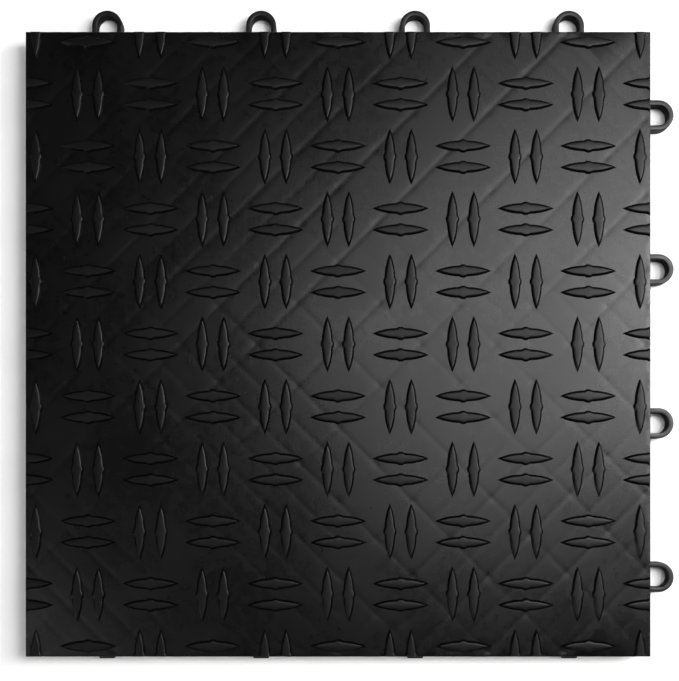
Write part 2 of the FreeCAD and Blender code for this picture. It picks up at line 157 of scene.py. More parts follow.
def add_slab(bm, outline, direction):
    """A flat outline carried along a direction, closed at both ends. Returns its edges, in a fixed order."""
    near_end = [bm.verts.new(p) for p in outline]
    far_end = [bm.verts.new(p + direction) for p in outline]
    count = len(outline)
    faces = [bm.faces.new(near_end), bm.faces.new(list(reversed(far_end)))]
    for i in range(count):
        after = (i + 1) % count
        faces.append(bm.faces.new((near_end[after], near_end[i], far_end[i], far_end[after])))
    return list(dict.fromkeys(edge for face in faces for edge in face.edges))


def merge_points(bm):
    bmesh.ops.remove_doubles(bm, verts=bm.verts, dist=SAME_POINT)


def cut_at_rim(bm):
    """Cuts away all that lies past the start of the deck's rounded rim, on each of the four sides."""
    for normal in (Vector((1, 0, 0)), Vector((-1, 0, 0)), Vector((0, 1, 0)), Vector((0, -1, 0))):
        everything = bm.verts[:] + bm.edges[:] + bm.faces[:]
        start = normal * (HALF - RIM)
        bmesh.ops.bisect_plane(
            bm, geom=everything, dist=SAME_POINT, plane_co=start, plane_no=normal, clear_outer=True
        )


def arc(centre, radius, start, end, steps):
    """Points on an arc in the plane, from one angle to another in degrees."""
    points = []
    for k in range(steps + 1):
        a = math.radians(start + (end - start) * k / steps)
        points.append((centre[0] + radius * math.cos(a), centre[1] + radius * math.sin(a)))
    return points


# ---- where things are ----


def rib_offsets(first):
    """Every x + y, or x - y, at which a rib of one kind runs, on both sides of the middle."""
    count = int((2 * HALF - first) / RIB_PITCH) + 1
    steps = [first + RIB_PITCH * k for k in range(count)]
    return steps + [-s for s in steps]


MAIN_OFFSETS = [0.0] + rib_offsets(RIB_FIRST)
DIAMOND_OFFSETS = rib_offsets(RIB_FIRST + RIB_PITCH / 2)


def connector_place(side, number):
    """Carries a connector's own axes, +Y outwards from an origin on the deck's edge, to its place."""
    low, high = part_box(f"{'loop' if side in LOOP_SIDES else 'peg'}_{side}_{number}")
    turn = math.radians(TURNS[side])
    out = Vector((-math.sin(turn), math.cos(turn), 0))
    middle = (low + high) / 2
    middle.z = 0
    return Matrix.Translation(middle + out * (HALF - middle.dot(out))) @ Matrix.Rotation(turn, 4, "Z")


def along_side(side, number):
    """How far along its side a connector is, to the right of the middle seen from inside the tile."""
    turn = math.radians(TURNS[side])
    return connector_place(side, number).translation.dot(Vector((math.cos(turn), math.sin(turn), 0)))


# ---- the deck ----


def dip(distance, reach, depth):
    """A smooth groove's depth at a distance from its line."""
    t = min(abs(distance) / reach, 1)
    return depth * (1 + math.cos(math.pi * t)) / 2


def nearest(value, offsets):
    return min(abs(value - c) for c in offsets) / ROOT2


def deck_height(x, y):
    """The deck's upper face: sunk a little over every rib, dimpled over their crossings, never quite flat."""
    rising, falling = nearest(x - y, MAIN_OFFSETS), nearest(x + y, MAIN_OFFSETS)
    diamond = nearest(abs(x) + abs(y), DIAMOND_OFFSETS)
    sunk = dip(rising, SINK_REACH, SINK_DEPTH) + dip(falling, SINK_REACH, SINK_DEPTH * FALLING_SHARE)
    sunk += dip(diamond, FAINT_SINK_REACH, FAINT_SINK_DEPTH)
    sunk += dip(math.hypot(rising, falling), DIMPLE_REACH, DIMPLE_DEPTH)
    sunk += WAVE_DEPTH * (1 + noise.noise(Vector((x, y, 0)) / WAVE_LENGTH)) / 2
    edge = (HALF - max(abs(x), abs(y)) - RIM) / EDGE_FADE
    fade = min(max(edge, 0), 1)
    return DECK_TOP - sunk * fade


def sample_lines():
    """Values of x + y, and of x - y, along which the deck's mesh runs: close together over the ribs."""
    across = [-1, -0.66, -0.33, 0, 0.33, 0.66, 1]
    lines = {-2 * HALF, 2 * HALF}
    for c in MAIN_OFFSETS + DIAMOND_OFFSETS:
        lines.update(round(c + s * SINK_REACH * ROOT2, 7) for s in across)
        lines.update(round(c + s * RIB_PITCH / 6, 7) for s in (-1, 1))
    ordered = sorted(lines)
    kept = ordered[:1]
    for value in ordered[1:]:
        if value - kept[-1] > 0.6 * MM:
            kept.append(value)
    return kept


def make_deck(material):
    bm = bmesh.new()
    lines = sample_lines()
    limit = HALF - RIM
    verts = {}

    def vertex(i, j):
        if (i, j) not in verts:
            u, v = lines[i], lines[j]
            x, y = (u + v) / 2, (u - v) / 2
            verts[i, j] = bm.verts.new((x, y, deck_height(x, y)))
        return verts[i, j]

    def reaches(i, j):
        """Whether any corner of this cell is inside the square."""
        corners = [
            ((lines[a] + lines[b]) / 2, (lines[a] - lines[b]) / 2)
            for a in (i, i + 1)
            for b in (j, j + 1)
        ]
        xs, ys = zip(*corners)
        return min(xs) < limit and max(xs) > -limit and min(ys) < limit and max(ys) > -limit

    for i in range(len(lines) - 1):
        for j in range(len(lines) - 1):
            if reaches(i, j):
                bm.faces.new((vertex(i, j), vertex(i + 1, j), vertex(i + 1, j + 1), vertex(i, j + 1)))
    cut_at_rim(bm)
    edge = [v for v in bm.verts if v.is_boundary]
    ring = sorted(edge, key=lambda v: math.atan2(v.co.y, v.co.x))
    outline = [v.co.copy() for v in ring]

    def outward(p):
        sx = math.copysign(1, p.x) if abs(p.x) > limit - 1e-6 else 0
        sy = math.copysign(1, p.y) if abs(p.y) > limit - 1e-6 else 0
        return Vector((sx, sy, 0))

    steps = []
    for degrees in (25, 50, 70, 90):
        a = math.radians(degrees)
        steps.append((RIM * math.sin(a), RIM * (1 - math.cos(a))))
    thick = DECK_TOP - DECK_UNDER
    steps += [(RIM, thick - 0.2 * MM), (RIM - 0.06 * MM, thick - 0.06 * MM), (RIM - 0.2 * MM, thick)]
    for out, down in steps:
        lower = []
        for p in outline:
            q = p + outward(p) * out
            q.z = DECK_TOP - down
            lower.append(bm.verts.new(q))
        for k in range(len(ring)):
            after = (k + 1) % len(ring)
            bm.faces.new((ring[k], ring[after], lower[after], lower[k]))
        ring = lower
    bm.faces.new(reversed(ring))
    finish_mesh("tread_plate", bm, material, ["tread_deck"])


# ---- the tread lugs ----

# How far the outline is drawn in at each height on the way up a flank, over the edge and onto the top.
LUG_STEPS = [
    (-0.12 * MM, -0.20 * MM),
    (-0.04 * MM, -0.01 * MM),
    (0.01 * MM, 0.03 * MM),
    (0.07 * MM, 0.11 * MM),
    (0.78 * MM, 0.87 * MM),
    (0.88 * MM, 0.95 * MM),
    (1.06 * MM, 1.00 * MM),
    (1.45 * MM, 1.04 * MM),
]
LUG_FLANK_STEPS = 4
LUG_EDGE_STEPS = (5, 6)
LUG_RIDGE = 1.10 * MM
# How much of the nub is left at the innermost step.
NUB_TOP_SHARE = 0.4


def lug_rows():
    """Rows of points across one lug that lies along X, from tip to tip."""
    half_length, half_width = LUG_LENGTH / 2, LUG_WIDTH / 2
    # a little fuller towards its tips than an arc
    fullness = 2.4
    tip_slope = math.atan(fullness * half_width / half_length)
    nub, flat = NUB_LENGTH / 2, NUB_FLAT / 2
    nub_stations = [0, 0.28, 0.45, 0.64, 0.82, 1]
    taper = [0.14, 0.28, 0.42, 0.56, 0.7, 0.82, 0.92, 1]

    def tip(inset):
        return half_length - inset / math.sin(tip_slope)

    def width(x, inset):
        lens = (half_width - inset) * (1 - min(abs(x) / tip(inset), 1) ** fullness)
        t = min(max((nub - abs(x)) / (nub - flat), 0), 1)
        return lens + NUB_REACH * t * t * (3 - 2 * t) * (1 if inset < LUG_STEPS[-1][0] else NUB_TOP_SHARE)

    def station(k, inset):
        """The k-th place from the middle, the first few within the nub and the rest out to the tip."""
        if k < len(nub_stations):
            return nub * nub_stations[k]
        return nub + (tip(inset) - nub) * taper[k - len(nub_stations)]

    last = len(nub_stations) + len(taper) - 1
    rows = []
    for k in range(-last, last + 1):
        sign = math.copysign(1, k)
        near_side = [
            Vector((sign * station(abs(k), inset), -width(station(abs(k), inset), inset), z))
            for inset, z in LUG_STEPS
        ]
        ridge_x = sign * station(abs(k), LUG_STEPS[-1][0])
        dome = 1 - (abs(ridge_x) / tip(LUG_STEPS[-1][0])) ** 2
        top = LUG_STEPS[-1][1] + (LUG_RIDGE - LUG_STEPS[-1][1]) * dome
        far_side = [Vector((p.x, -p.y, p.z)) for p in reversed(near_side)]
        rows.append(near_side + [Vector((ridge_x, 0, top))] + far_side)
    return rows


def make_lugs(top_material, flank_shade_material):
    """Pairs of lugs on a square grid, turned by 90 degrees from each cell to the next, cut at the rim."""
    rows = lug_rows()
    for name, lengthwise in (("lengthwise", True), ("crosswise", False)):
        whole = bmesh.new()
        wear = whole.verts.layers.float.new("wear")
        flank = whole.verts.layers.float.new("flank")
        for i in range(LUG_CELLS + 1):
            for j in range(LUG_CELLS + 1):
                if ((i + j) % 2 == 0) != lengthwise:
                    continue
                for spread in (-LUG_SPACING / 2, LUG_SPACING / 2):
                    aside = Vector((spread, 0, 0)) if lengthwise else Vector((0, spread, 0))
                    place = aside + Vector((i * CELL - HALF, j * CELL - HALF, DECK_TOP))
                    turn = Matrix.Rotation(math.radians(90 if lengthwise else 0), 3, "Z")
                    made = add_grid(whole, [[turn @ p + place for p in row] for row in rows])
                    for row in made:
                        for k in LUG_EDGE_STEPS:
                            row[k][wear] = row[-1 - k][wear] = 1.0
                        for k in range(LUG_FLANK_STEPS):
                            row[k][flank] = row[-1 - k][flank] = 1.0
        merge_points(whole)
        cut_at_rim(whole)
        bmesh.ops.holes_fill(whole, edges=[e for e in whole.edges if e.is_boundary], sides=0)
        # the flanks and the fillets at their feet take the darker copy of the plastic, as painted shade
        for face in whole.faces:
            face.material_index = 1 if any(v[flank] > 0.5 for v in face.verts) else 0
        lugs = finish_mesh(
            f"tread_bars_{name}", whole, top_material, [f"tread_lugs_{name}"], crease=60
        )
        lugs.data.materials.append(flank_shade_material)


# ---- walls, loops, pegs and tongues ----

# How far a piece runs into the one that it grows from.
EMBED = 0.1 * MM
WALL_BEVEL, TONGUE_BEVEL = 0.25 * MM, 0.2 * MM
NECK_THICK, NECK_MARGIN = 0.8 * MM, 0.2 * MM


def make_wall(side, material):
    """A side wall with softened edges, notched for its connectors, whose outline runs along the side."""
    bm = bmesh.new()
    half = HALF - WALL_INSET
    # the left and right walls end inside the other two, so that each corner is one piece
    if side in ("left", "right"):
        half -= WALL_THICK / 2
    low, top = WALL_BOTTOM, DECK_UNDER + EMBED
    middles = sorted(along_side(side, number) for number in STATIONS)
    if side in LOOP_SIDES:
        outline = [(half, low), (half, top), (-half, top), (-half, low)]
        for middle in middles:
            reach = CATCH_WIDTH / 2
            outline += [(middle - reach, low), (middle - reach, CATCH_HEIGHT)]
            outline += [(middle + reach, CATCH_HEIGHT), (middle + reach, low)]
        outlines = [outline]
    else:
        wide, narrow = POCKET_WIDTH / 2, SLOT_WIDTH / 2
        starts = [None, *middles]
        ends = [*middles, None]
        outlines = []
        for start, end in zip(starts, ends):
            if start is None:
                left = [(-half, top), (-half, low)]
            else:
                left = [(start + narrow, top), (start + narrow, POCKET_HEIGHT)]
                left += [(start + wide, POCKET_HEIGHT), (start + wide, low)]
            if end is None:
                right = [(half, low), (half, top)]
            else:
                right = [(end - wide, low), (end - wide, POCKET_HEIGHT)]
                right += [(end - narrow, POCKET_HEIGHT), (end - narrow, top)]
            outlines.append(left + right)
    inward = Vector((0, -WALL_THICK, 0))
    edges = []
    for outline in outlines:
        edges += add_slab(bm, [Vector((a, HALF - WALL_INSET, z)) for a, z in outline], inward)
    # the necks come before the bevel, so that the faces get the same order on every run
    if side not in LOOP_SIDES:
        add_tongue_necks(bm, middles)
    bmesh.ops.bevel(
        bm, geom=edges, offset=WALL_BEVEL, segments=2, profile=0.5, affect="EDGES", clamp_overlap=True
    )
    bmesh.ops.rotate(bm, verts=bm.verts, matrix=Matrix.Rotation(math.radians(TURNS[side]), 3, "Z"))
    finish_mesh(f"wall_{side}", bm, material, [f"skirt_{side}"], crease=35)


def add_tongue_necks(bm, middles):
    """The thin necks above the tongues, in the middle of each root, on which the tongues bend."""
    reach = TONGUE_WIDTH / 2 - NECK_MARGIN
    outer = HALF - TONGUE_INSET - (TONGUE_THICK - NECK_THICK) / 2
    for middle in middles:
        corners = [(-reach, TONGUE_ROOT), (reach, TONGUE_ROOT), (reach, DECK_UNDER), (-reach, DECK_UNDER)]
        outline = [Vector((middle + a, outer, z + (EMBED if z == DECK_UNDER else 0))) for a, z in corners]
        add_slab(bm, outline, Vector((0, -NECK_THICK, 0)))


def loop_section():
    """The band's cross-section: distance from the band's middle, outwards, and height."""
    half = (LOOP_OUTER - LOOP_INNER) / 2
    low, outer, inner = 0.25 * MM, 0.4 * MM, 0.25 * MM
    # the top is very slightly crowned
    high = LOOP_HEIGHT - 0.04 * MM
    section = arc((half - low, low), low, -90, 0, 3)
    section += arc((half - outer, high - outer), outer, 0, 90, 4)
    section += [(0, LOOP_HEIGHT)]
    section += arc((inner - half, high - inner), inner, 90, 180, 3)
    section += arc((low - half, low), low, 180, 270, 3)
    return section


def make_loop(side, number, material, wall_shade_material):
    """A U-shaped eye: its band runs out from the wall, round half a circle and back, with flared roots."""
    bm = bmesh.new()
    middle = (LOOP_OUTER + LOOP_INNER) / 2
    flare = 0.9 * MM
    root = -WALL_INSET
    arm = [root - WALL_THICK / 2] + [root + flare * t for t in (0, 0.12, 0.3, 0.6, 1.0)]
    arm += [root + (LOOP_REACH - root) * t for t in (0.5, 0.8)]
    path = [(Vector((middle, y, 0)), Vector((1, 0, 0)), y - root) for y in arm]
    bend = 32
    for k in range(bend + 1):
        a = math.pi * k / bend
        out = Vector((math.cos(a), math.sin(a), 0))
        path.append((Vector((0, LOOP_REACH, 0)) + out * middle, out, flare))
    path += [(Vector((-middle, y, 0)), Vector((-1, 0, 0)), y - root) for y in reversed(arm)]
    rings = []
    for point, out, beyond in path:
        gap = min(max(flare - beyond, 0), flare)
        widen = flare - math.sqrt(flare**2 - gap**2)
        ring = []
        for s, z in loop_section():
            aside = s + (widen if s > 0 else 0)
            ring.append(point + out * aside + Vector((0, 0, z)))
        rings.append(ring)
    add_tube(bm, rings)
    bmesh.ops.transform(bm, verts=bm.verts, matrix=connector_place(side, number))
    name = f"{side}_{number}"
    loop = finish_mesh(f"eye_{name}", bm, material, [f"loop_{name}"], crease=50)
    # faces that do not face up take the darker copy of the plastic, as painted shade; the tops keep the plain
    # one
    loop.data.materials.append(wall_shade_material)
    for polygon in loop.data.polygons:
        polygon.material_index = 0 if polygon.normal.z > 0.5 else 1


def make_peg(side, number, material):
    """A hollow peg with a rounded lower end and a small fillet where it leaves the deck."""
    low, top = PEG_BOTTOM, DECK_UNDER
    lead, fillet = 0.5 * MM, 0.6 * MM
    profile = [(PEG_CORE, top + EMBED), (PEG_CORE, low + 0.15 * MM), (PEG_CORE + 0.15 * MM, low)]
    profile += arc((PEG_RADIUS - lead, low + lead), lead, -90, 0, 4)
    profile += reversed(arc((PEG_RADIUS + fillet, top - fillet), fillet, 90, 180, 4))
    profile += [(PEG_RADIUS + fillet, top + EMBED)]
    bm = bmesh.new()
    low_box, high_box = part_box(f"peg_{side}_{number}")
    centre = (low_box + high_box) / 2
    centre.z = 0
    add_lathe(bm, profile, centre, 36)
    name = f"{side}_{number}"
    finish_mesh(f"post_{name}", bm, material, [f"peg_{name}"], crease=35)


def make_tongue(side, number, material):
    """A snap tongue: a strip with a round root and a hook with a sloping lead-in and a tapered tip."""
    outer, inner = -TONGUE_INSET, -TONGUE_INSET - TONGUE_THICK
    middle = (outer + inner) / 2
    profile = [(inner, TONGUE_BOTTOM), (outer, TONGUE_BOTTOM)]
    profile += [(HOOK_REACH, HOOK_NOSE), (HOOK_REACH, HOOK_TOP), (outer, HOOK_TOP)]
    profile += arc((middle, TONGUE_ROOT), TONGUE_THICK / 2, 0, 180, 8)
    bm = bmesh.new()
    start = [Vector((-TONGUE_WIDTH / 2, y, z)) for y, z in profile]
    edges = add_slab(bm, start, Vector((TONGUE_WIDTH, 0, 0)))
    for vert in bm.verts:
        if vert.co.y > 0:
            vert.co.x = math.copysign(TONGUE_TIP / 2, vert.co.x)
    crisp = [e for e in edges if min(v.co.z for v in e.verts) < TONGUE_ROOT]
    bmesh.ops.bevel(
        bm, geom=crisp, offset=TONGUE_BEVEL, segments=3, profile=0.5, affect="EDGES", clamp_overlap=True
    )
    bmesh.ops.transform(bm, verts=bm.verts, matrix=connector_place(side, number))
    node = f"snap_tongue_{side}_{number}"
    finish_mesh(f"hook_{side}_{number}", bm, material, [node], body=node, crease=35)


# ---- ribs and posts ----

# How far a rib's side stands out past half its thickness, at heights from its lower edge and from the deck.
RIB_FOOT = [(-0.35 * MM, 0.0), (-0.12 * MM, 0.08 * MM), (0.0, 0.3 * MM)]
RIB_HEAD = [(0.08 * MM, -0.8 * MM), (0.2 * MM, -0.35 * MM), (0.5 * MM, -0.08 * MM), (0.9 * MM, EMBED)]


def keep_clear():
    """The rectangles, as low x, high x, low y, high y, that ribs and posts leave to the connectors."""
    rectangles = []
    for side in TURNS:
        wide, deep = (CATCH_WIDTH, CATCH_DEPTH) if side in LOOP_SIDES else (POCKET_WIDTH, POCKET_DEPTH)
        for number in STATIONS:
            place = connector_place(side, number)
            corners = [place @ Vector((x, y, 0)) for x in (-wide / 2, wide / 2) for y in (-deep, 0)]
            xs, ys = [c.x for c in corners], [c.y for c in corners]
            rectangles.append((min(xs), max(xs), min(ys), max(ys)))
    return rectangles


def clear_runs(offset, sense, thick, limits, rectangles):
    """The stretches of the line x + sense * y = offset where a bar this thick may run, as pairs of points."""
    start = Vector((offset / 2, sense * offset / 2, 0))
    along = Vector((1, -sense, 0)) / ROOT2
    corner = thick / 2 / ROOT2
    low_x, high_x, low_y, high_y = limits
    planes_x, planes_y = [low_x, high_x], [low_y, high_y]
    grown = [(a - corner, b + corner, c - corner, d + corner) for a, b, c, d in rectangles]
    for a, b, c, d in grown:
        planes_x += [a, b]
        planes_y += [c, d]
    places = sorted(
        [(x - start.x) / along.x for x in planes_x] + [(y - start.y) / along.y for y in planes_y]
    )

    def is_clear(point):
        inside = low_x < point.x < high_x and low_y < point.y < high_y
        return inside and not any(a < point.x < b and c < point.y < d for a, b, c, d in grown)

    runs = []
    for a, b in zip(places, places[1:]):
        if b - a < 1e-6 or not is_clear(start + along * (a + b) / 2):
            continue
        if runs and abs(runs[-1][1] - a) < 1e-6:
            runs[-1][1] = b
        else:
            runs.append([a, b])
    return [(start + along * a, start + along * b) for a, b in runs]


def add_rib(bm, start, end, thick, bottom):
    """One rib with draft, a rounded lower edge and a flare where it meets the deck."""
    half, top = thick / 2, DECK_UNDER
    side = [(half + s, bottom + z) for s, z in RIB_FOOT] + [(half + s, top + z) for s, z in RIB_HEAD]
    section = side + [(-s, z) for s, z in reversed(side)]
    across = (end - start).cross(Vector((0, 0, 1))).normalized()
    add_tube(bm, [[p + across * s + Vector((0, 0, z)) for s, z in section] for p in (start, end)])


def make_ribs(material):
    inner = HALF - WALL_INSET - WALL_THICK / 2
    whole = (-inner, inner, -inner, inner)
    rectangles = keep_clear()
    for name, sense in (("rising", -1), ("falling", 1)):
        bm = bmesh.new()
        for offset in MAIN_OFFSETS:
            for start, end in clear_runs(offset, sense, MAIN_RIB_THICK, whole, rectangles):
                add_rib(bm, start, end, MAIN_RIB_THICK, MAIN_RIB_BOTTOM)
        finish_mesh(f"{name}_ribs", bm, material, [f"main_ribs_{name}"])
    for name, (sx, sy) in QUARTERS.items():
        bm = bmesh.new()
        quarter = (min(sx, 0) * inner, max(sx, 0) * inner, min(sy, 0) * inner, max(sy, 0) * inner)
        for offset in DIAMOND_OFFSETS:
            if offset * sx < 0:
                continue
            for start, end in clear_runs(offset, sx * sy, DIAMOND_RIB_THICK, quarter, rectangles):
                add_rib(bm, start, end, DIAMOND_RIB_THICK, DIAMOND_RIB_BOTTOM)
        finish_mesh(f"diamond_webs_{name}", bm, material, [f"diamond_ribs_{name}"])


def make_posts(material):
    """Round posts from the floor to the deck at the crossings of the main ribs, clear of the connectors."""
    edge, fillet, draft = 0.4 * MM, 0.7 * MM, 0.15 * MM
    top = DECK_UNDER
    profile = [(0, 0)] + arc((POST_RADIUS - edge, edge), edge, -90, 0, 3)
    profile += reversed(arc((POST_RADIUS + draft + fillet, top - fillet), fillet, 90, 180, 3))
    profile += [(POST_RADIUS + draft + fillet, top + EMBED), (0, top + EMBED)]
    inner = HALF - WALL_INSET - WALL_THICK - POST_RADIUS
    rectangles = keep_clear()
    bm = bmesh.new()
    for rising in MAIN_OFFSETS:
        for falling in MAIN_OFFSETS:
            x, y = (falling + rising) / 2, (falling - rising) / 2
            gaps = [math.hypot(max(a - x, x - b, 0), max(c - y, y - d, 0)) for a, b, c, d in rectangles]
            if max(abs(x), abs(y)) <= inner and min(gaps) >= POST_RADIUS:
                add_lathe(bm, profile, Vector((x, y, 0)), 20)
    merge_points(bm)
    finish_mesh("foot_posts", bm, material, ["support_feet"], crease=35)


# ---- materials ----

PLASTIC_IOR = 1.49


class Graph:
    """A new material's nodes, added and linked by short calls."""

    def __init__(self, name):
        self.material = bpy.data.materials.new(name)
        self.material.use_nodes = True
        self.tree = self.material.node_tree
        self.shader = self.tree.nodes["Principled BSDF"]
        self.place = self.add("ShaderNodeTexCoord").outputs["Object"]

    def add(self, kind, **settings):
        node = self.tree.nodes.new(kind)
        for key, value in settings.items():
            setattr(node, key, value)
        return node

    def join(self, source, target):
        self.tree.links.new(source, target)

    def noise(self, cell, detail=2, rough=0.5, stretch=(1, 1, 1), turn=0):
        """Noise whose cells are about so long, stretched and turned about Z."""
        mapping = self.add("ShaderNodeMapping")
        mapping.inputs["Rotation"].default_value = (0, 0, math.radians(turn))
        mapping.inputs["Scale"].default_value = [1 / (cell * s) for s in stretch]
        self.join(self.place, mapping.inputs["Vector"])
        texture = self.add("ShaderNodeTexNoise")
        texture.inputs["Scale"].default_value = 1
        texture.inputs["Detail"].default_value = detail
        texture.inputs["Roughness"].default_value = rough
        self.join(mapping.outputs["Vector"], texture.inputs["Vector"])
        return texture.outputs["Fac"]

    def spread(self, value, from_low, from_high, low, high):
        """The value, moved from one range to another and held there."""
        node = self.add("ShaderNodeMapRange", interpolation_type="SMOOTHSTEP")
        self.join(value, node.inputs["Value"])
        keys = ("From Min", "From Max", "To Min", "To Max")
        for key, number in zip(keys, (from_low, from_high, low, high)):
            node.inputs[key].default_value = number
        return node.outputs["Result"]

    def maths(self, operation, a, b):
        node = self.add("ShaderNodeMath", operation=operation)
        for socket, value in zip(node.inputs, (a, b)):
            if isinstance(value, (int, float)):
                socket.default_value = value
            else:
                self.join(value, socket)
        return node.outputs["Value"]

    def blend(self, factor, low, high):
        node = self.add("ShaderNodeMix", data_type="RGBA")
        self.join(factor, node.inputs["Factor"])
        node.inputs["A"].default_value = (*low, 1)
        node.inputs["B"].default_value = (*high, 1)
        return node.outputs["Result"]

    def bump(self, height, distance, onto=None):
        node = self.add("ShaderNodeBump")
        node.inputs["Strength"].default_value = 1
        node.inputs["Distance"].default_value = distance
        self.join(height, node.inputs["Height"])
        if onto is not None:
            self.join(onto, node.inputs["Normal"])
        return node.outputs["Normal"]


def scratches(g, normal, depth, reach, density):
    """Thin straight scratches in three directions, each about so wide."""
    for turn, stretch in ((17, 90), (-38, 60), (71, 120)):
        lines = g.noise(reach, detail=0, stretch=(1, stretch, 1), turn=turn)
        marks = g.spread(lines, 1 - density, 1.06 - density, 0.0, 1.0)
        normal = g.bump(marks, -depth, normal)
    return normal


def tread_plastic(name, rough_low, rough_high, shine, worn):
    """The deck and the lugs: uneven gloss, fine grain, scuffs, some dust and, if worn, paler edges."""
    g = Graph(name)
    cloudy = g.noise(34 * MM, detail=3)
    mottled = g.noise(3.5 * MM, detail=3)
    gloss = g.maths("ADD", g.maths("MULTIPLY", cloudy, 0.6), g.maths("MULTIPLY", mottled, 0.4))
    rough = g.spread(gloss, 0.35, 0.65, rough_low, rough_high)
    dust = g.spread(g.noise(0.9 * MM, detail=1), 0.68, 0.8, 0.0, 0.35)
    tint = g.maths("ADD", dust, g.maths("MULTIPLY", cloudy, 0.3))
    if worn:
        rubbed = g.add("ShaderNodeAttribute", attribute_name="wear").outputs["Fac"]
        patchy = g.spread(g.noise(6 * MM, detail=3), 0.4, 0.65, 0.15, 1.0)
        rubbed = g.maths("MULTIPLY", rubbed, patchy)
        tint = g.maths("ADD", tint, g.maths("MULTIPLY", rubbed, 0.8))
        rough = g.maths("SUBTRACT", rough, g.maths("MULTIPLY", rubbed, 0.06))
    g.join(g.blend(tint, (0.0012, 0.0012, 0.0012), (0.0042, 0.0042, 0.0041)), g.shader.inputs["Base Color"])
    normal = g.bump(g.noise(0.35 * MM, detail=3, rough=0.6), 0.006 * MM)
    g.join(scratches(g, normal, 0.004 * MM, 0.17 * MM, 0.25), g.shader.inputs["Normal"])
    g.join(rough, g.shader.inputs["Roughness"])
    g.shader.inputs["IOR"].default_value = PLASTIC_IOR
    g.shader.inputs["Specular IOR Level"].default_value = shine
    return g.material


def painted_shade_plastic(name, rough_low, rough_high):
    """Lug flanks, loop walls and tongues: a copy of the black plastic made darker as painted shade, with
    faint marks from the mould.
    """
    g = Graph(name)
    cloudy = g.noise(5 * MM, detail=3)
    # painted shade: a darker colour than the same plastic has on the deck and the loops' tops
    g.join(g.blend(cloudy, (0.0006, 0.0006, 0.0006), (0.0016, 0.0016, 0.0016)), g.shader.inputs["Base Color"])
    g.join(g.spread(cloudy, 0.35, 0.65, rough_low, rough_high), g.shader.inputs["Roughness"])
    drag = g.noise(0.3 * MM, detail=1, stretch=(1, 1, 20))
    g.join(g.bump(drag, 0.004 * MM), g.shader.inputs["Normal"])
    g.shader.inputs["IOR"].default_value = PLASTIC_IOR
    g.shader.inputs["Specular IOR Level"].default_value = 0.09
    return g.material


def connector_plastic():
    """The loops' tops and the pegs: a plainer finish off polished steel, with faint upright marks."""
    g = Graph("connector_plastic")
    cloudy = g.noise(5 * MM, detail=3)
    rough = g.spread(cloudy, 0.35, 0.65, 0.34, 0.46)
    dust = g.spread(g.noise(0.7 * MM, detail=1), 0.66, 0.8, 0.0, 0.5)
    g.join(g.blend(dust, (0.0025, 0.0025, 0.0025), (0.012, 0.012, 0.0115)), g.shader.inputs["Base Color"])
    normal = g.bump(g.noise(0.3 * MM, detail=3, rough=0.6), 0.004 * MM)
    drag = g.noise(0.35 * MM, detail=1, stretch=(1, 1, 30))
    g.join(g.bump(drag, 0.006 * MM, normal), g.shader.inputs["Normal"])
    g.join(rough, g.shader.inputs["Roughness"])
    g.shader.inputs["IOR"].default_value = PLASTIC_IOR
    g.shader.inputs["Specular IOR Level"].default_value = 0.35
    return g.material


def underside_plastic():
    """The unseen side: smoother, with wavy flow marks, dull patches where it cooled last, and some dust."""
    g = Graph("underside_plastic")
    flow = g.noise(26 * MM, detail=4, stretch=(1, 3, 1), turn=45)
    mottled = g.noise(2.5 * MM, detail=3)
    gloss = g.maths("ADD", g.maths("MULTIPLY", flow, 0.6), g.maths("MULTIPLY", mottled, 0.4))
    rough = g.spread(gloss, 0.38, 0.62, 0.26, 0.44)
    dust = g.spread(g.noise(1.1 * MM, detail=2), 0.64, 0.78, 0.0, 0.6)
    tint = g.maths("ADD", dust, g.maths("MULTIPLY", flow, 0.4))
    g.join(g.blend(tint, (0.004, 0.004, 0.004), (0.013, 0.013, 0.0125)), g.shader.inputs["Base Color"])
    normal = g.bump(g.noise(0.4 * MM, detail=3, rough=0.6), 0.004 * MM)
    g.join(g.bump(g.noise(9 * MM, detail=2), 0.05 * MM, normal), g.shader.inputs["Normal"])
    g.join(rough, g.shader.inputs["Roughness"])
    g.shader.inputs["IOR"].default_value = PLASTIC_IOR
    g.shader.inputs["Specular IOR Level"].default_value = 0.3
    return g.material


def pale_floor():
    """Smooth painted board, very slightly uneven. Away from the tile it glows, as if lit from above there."""
    g = Graph("studio_floor")
    uneven = g.noise(400 * MM, detail=2)
    g.join(g.blend(uneven, (0.86, 0.86, 0.86), (0.89, 0.89, 0.885)), g.shader.inputs["Base Color"])
    g.join(g.bump(g.noise(2 * MM, detail=2), 0.02 * MM), g.shader.inputs["Normal"])
    g.shader.inputs["Roughness"].default_value = 0.8
    g.shader.inputs["Specular IOR Level"].default_value = 0.2
    away = g.add("ShaderNodeVectorMath", operation="LENGTH")
    g.join(g.place, away.inputs[0])
    glow = g.spread(away.outputs["Value"], 0.35, 1.5, 0.0, BACKDROP_GLOW)
    g.join(glow, g.shader.inputs["Emission Strength"])
    g.shader.inputs["Emission Color"].default_value = (1, 1, 1, 1)
    return g.material


def backdrop_paint():
    """The wall far behind, as bright as the floor in front of it."""
    g = Graph("studio_backdrop")
    uneven = g.noise(3.0, detail=1)
    g.join(g.blend(uneven, (0.97, 0.97, 0.97), (1.0, 1.0, 1.0)), g.shader.inputs["Emission Color"])
    g.shader.inputs["Emission Strength"].default_value = BACKDROP_GLOW * BACKDROP_LIFT
    g.shader.inputs["Base Color"].default_value = (0, 0, 0, 1)
    g.shader.inputs["Specular IOR Level"].default_value = 0
    return g.material


# ---- studio ----

# How bright the far floor glows, and how much brighter than that the wall behind it is.
BACKDROP_GLOW, BACKDROP_LIFT = 0.7, 1.1
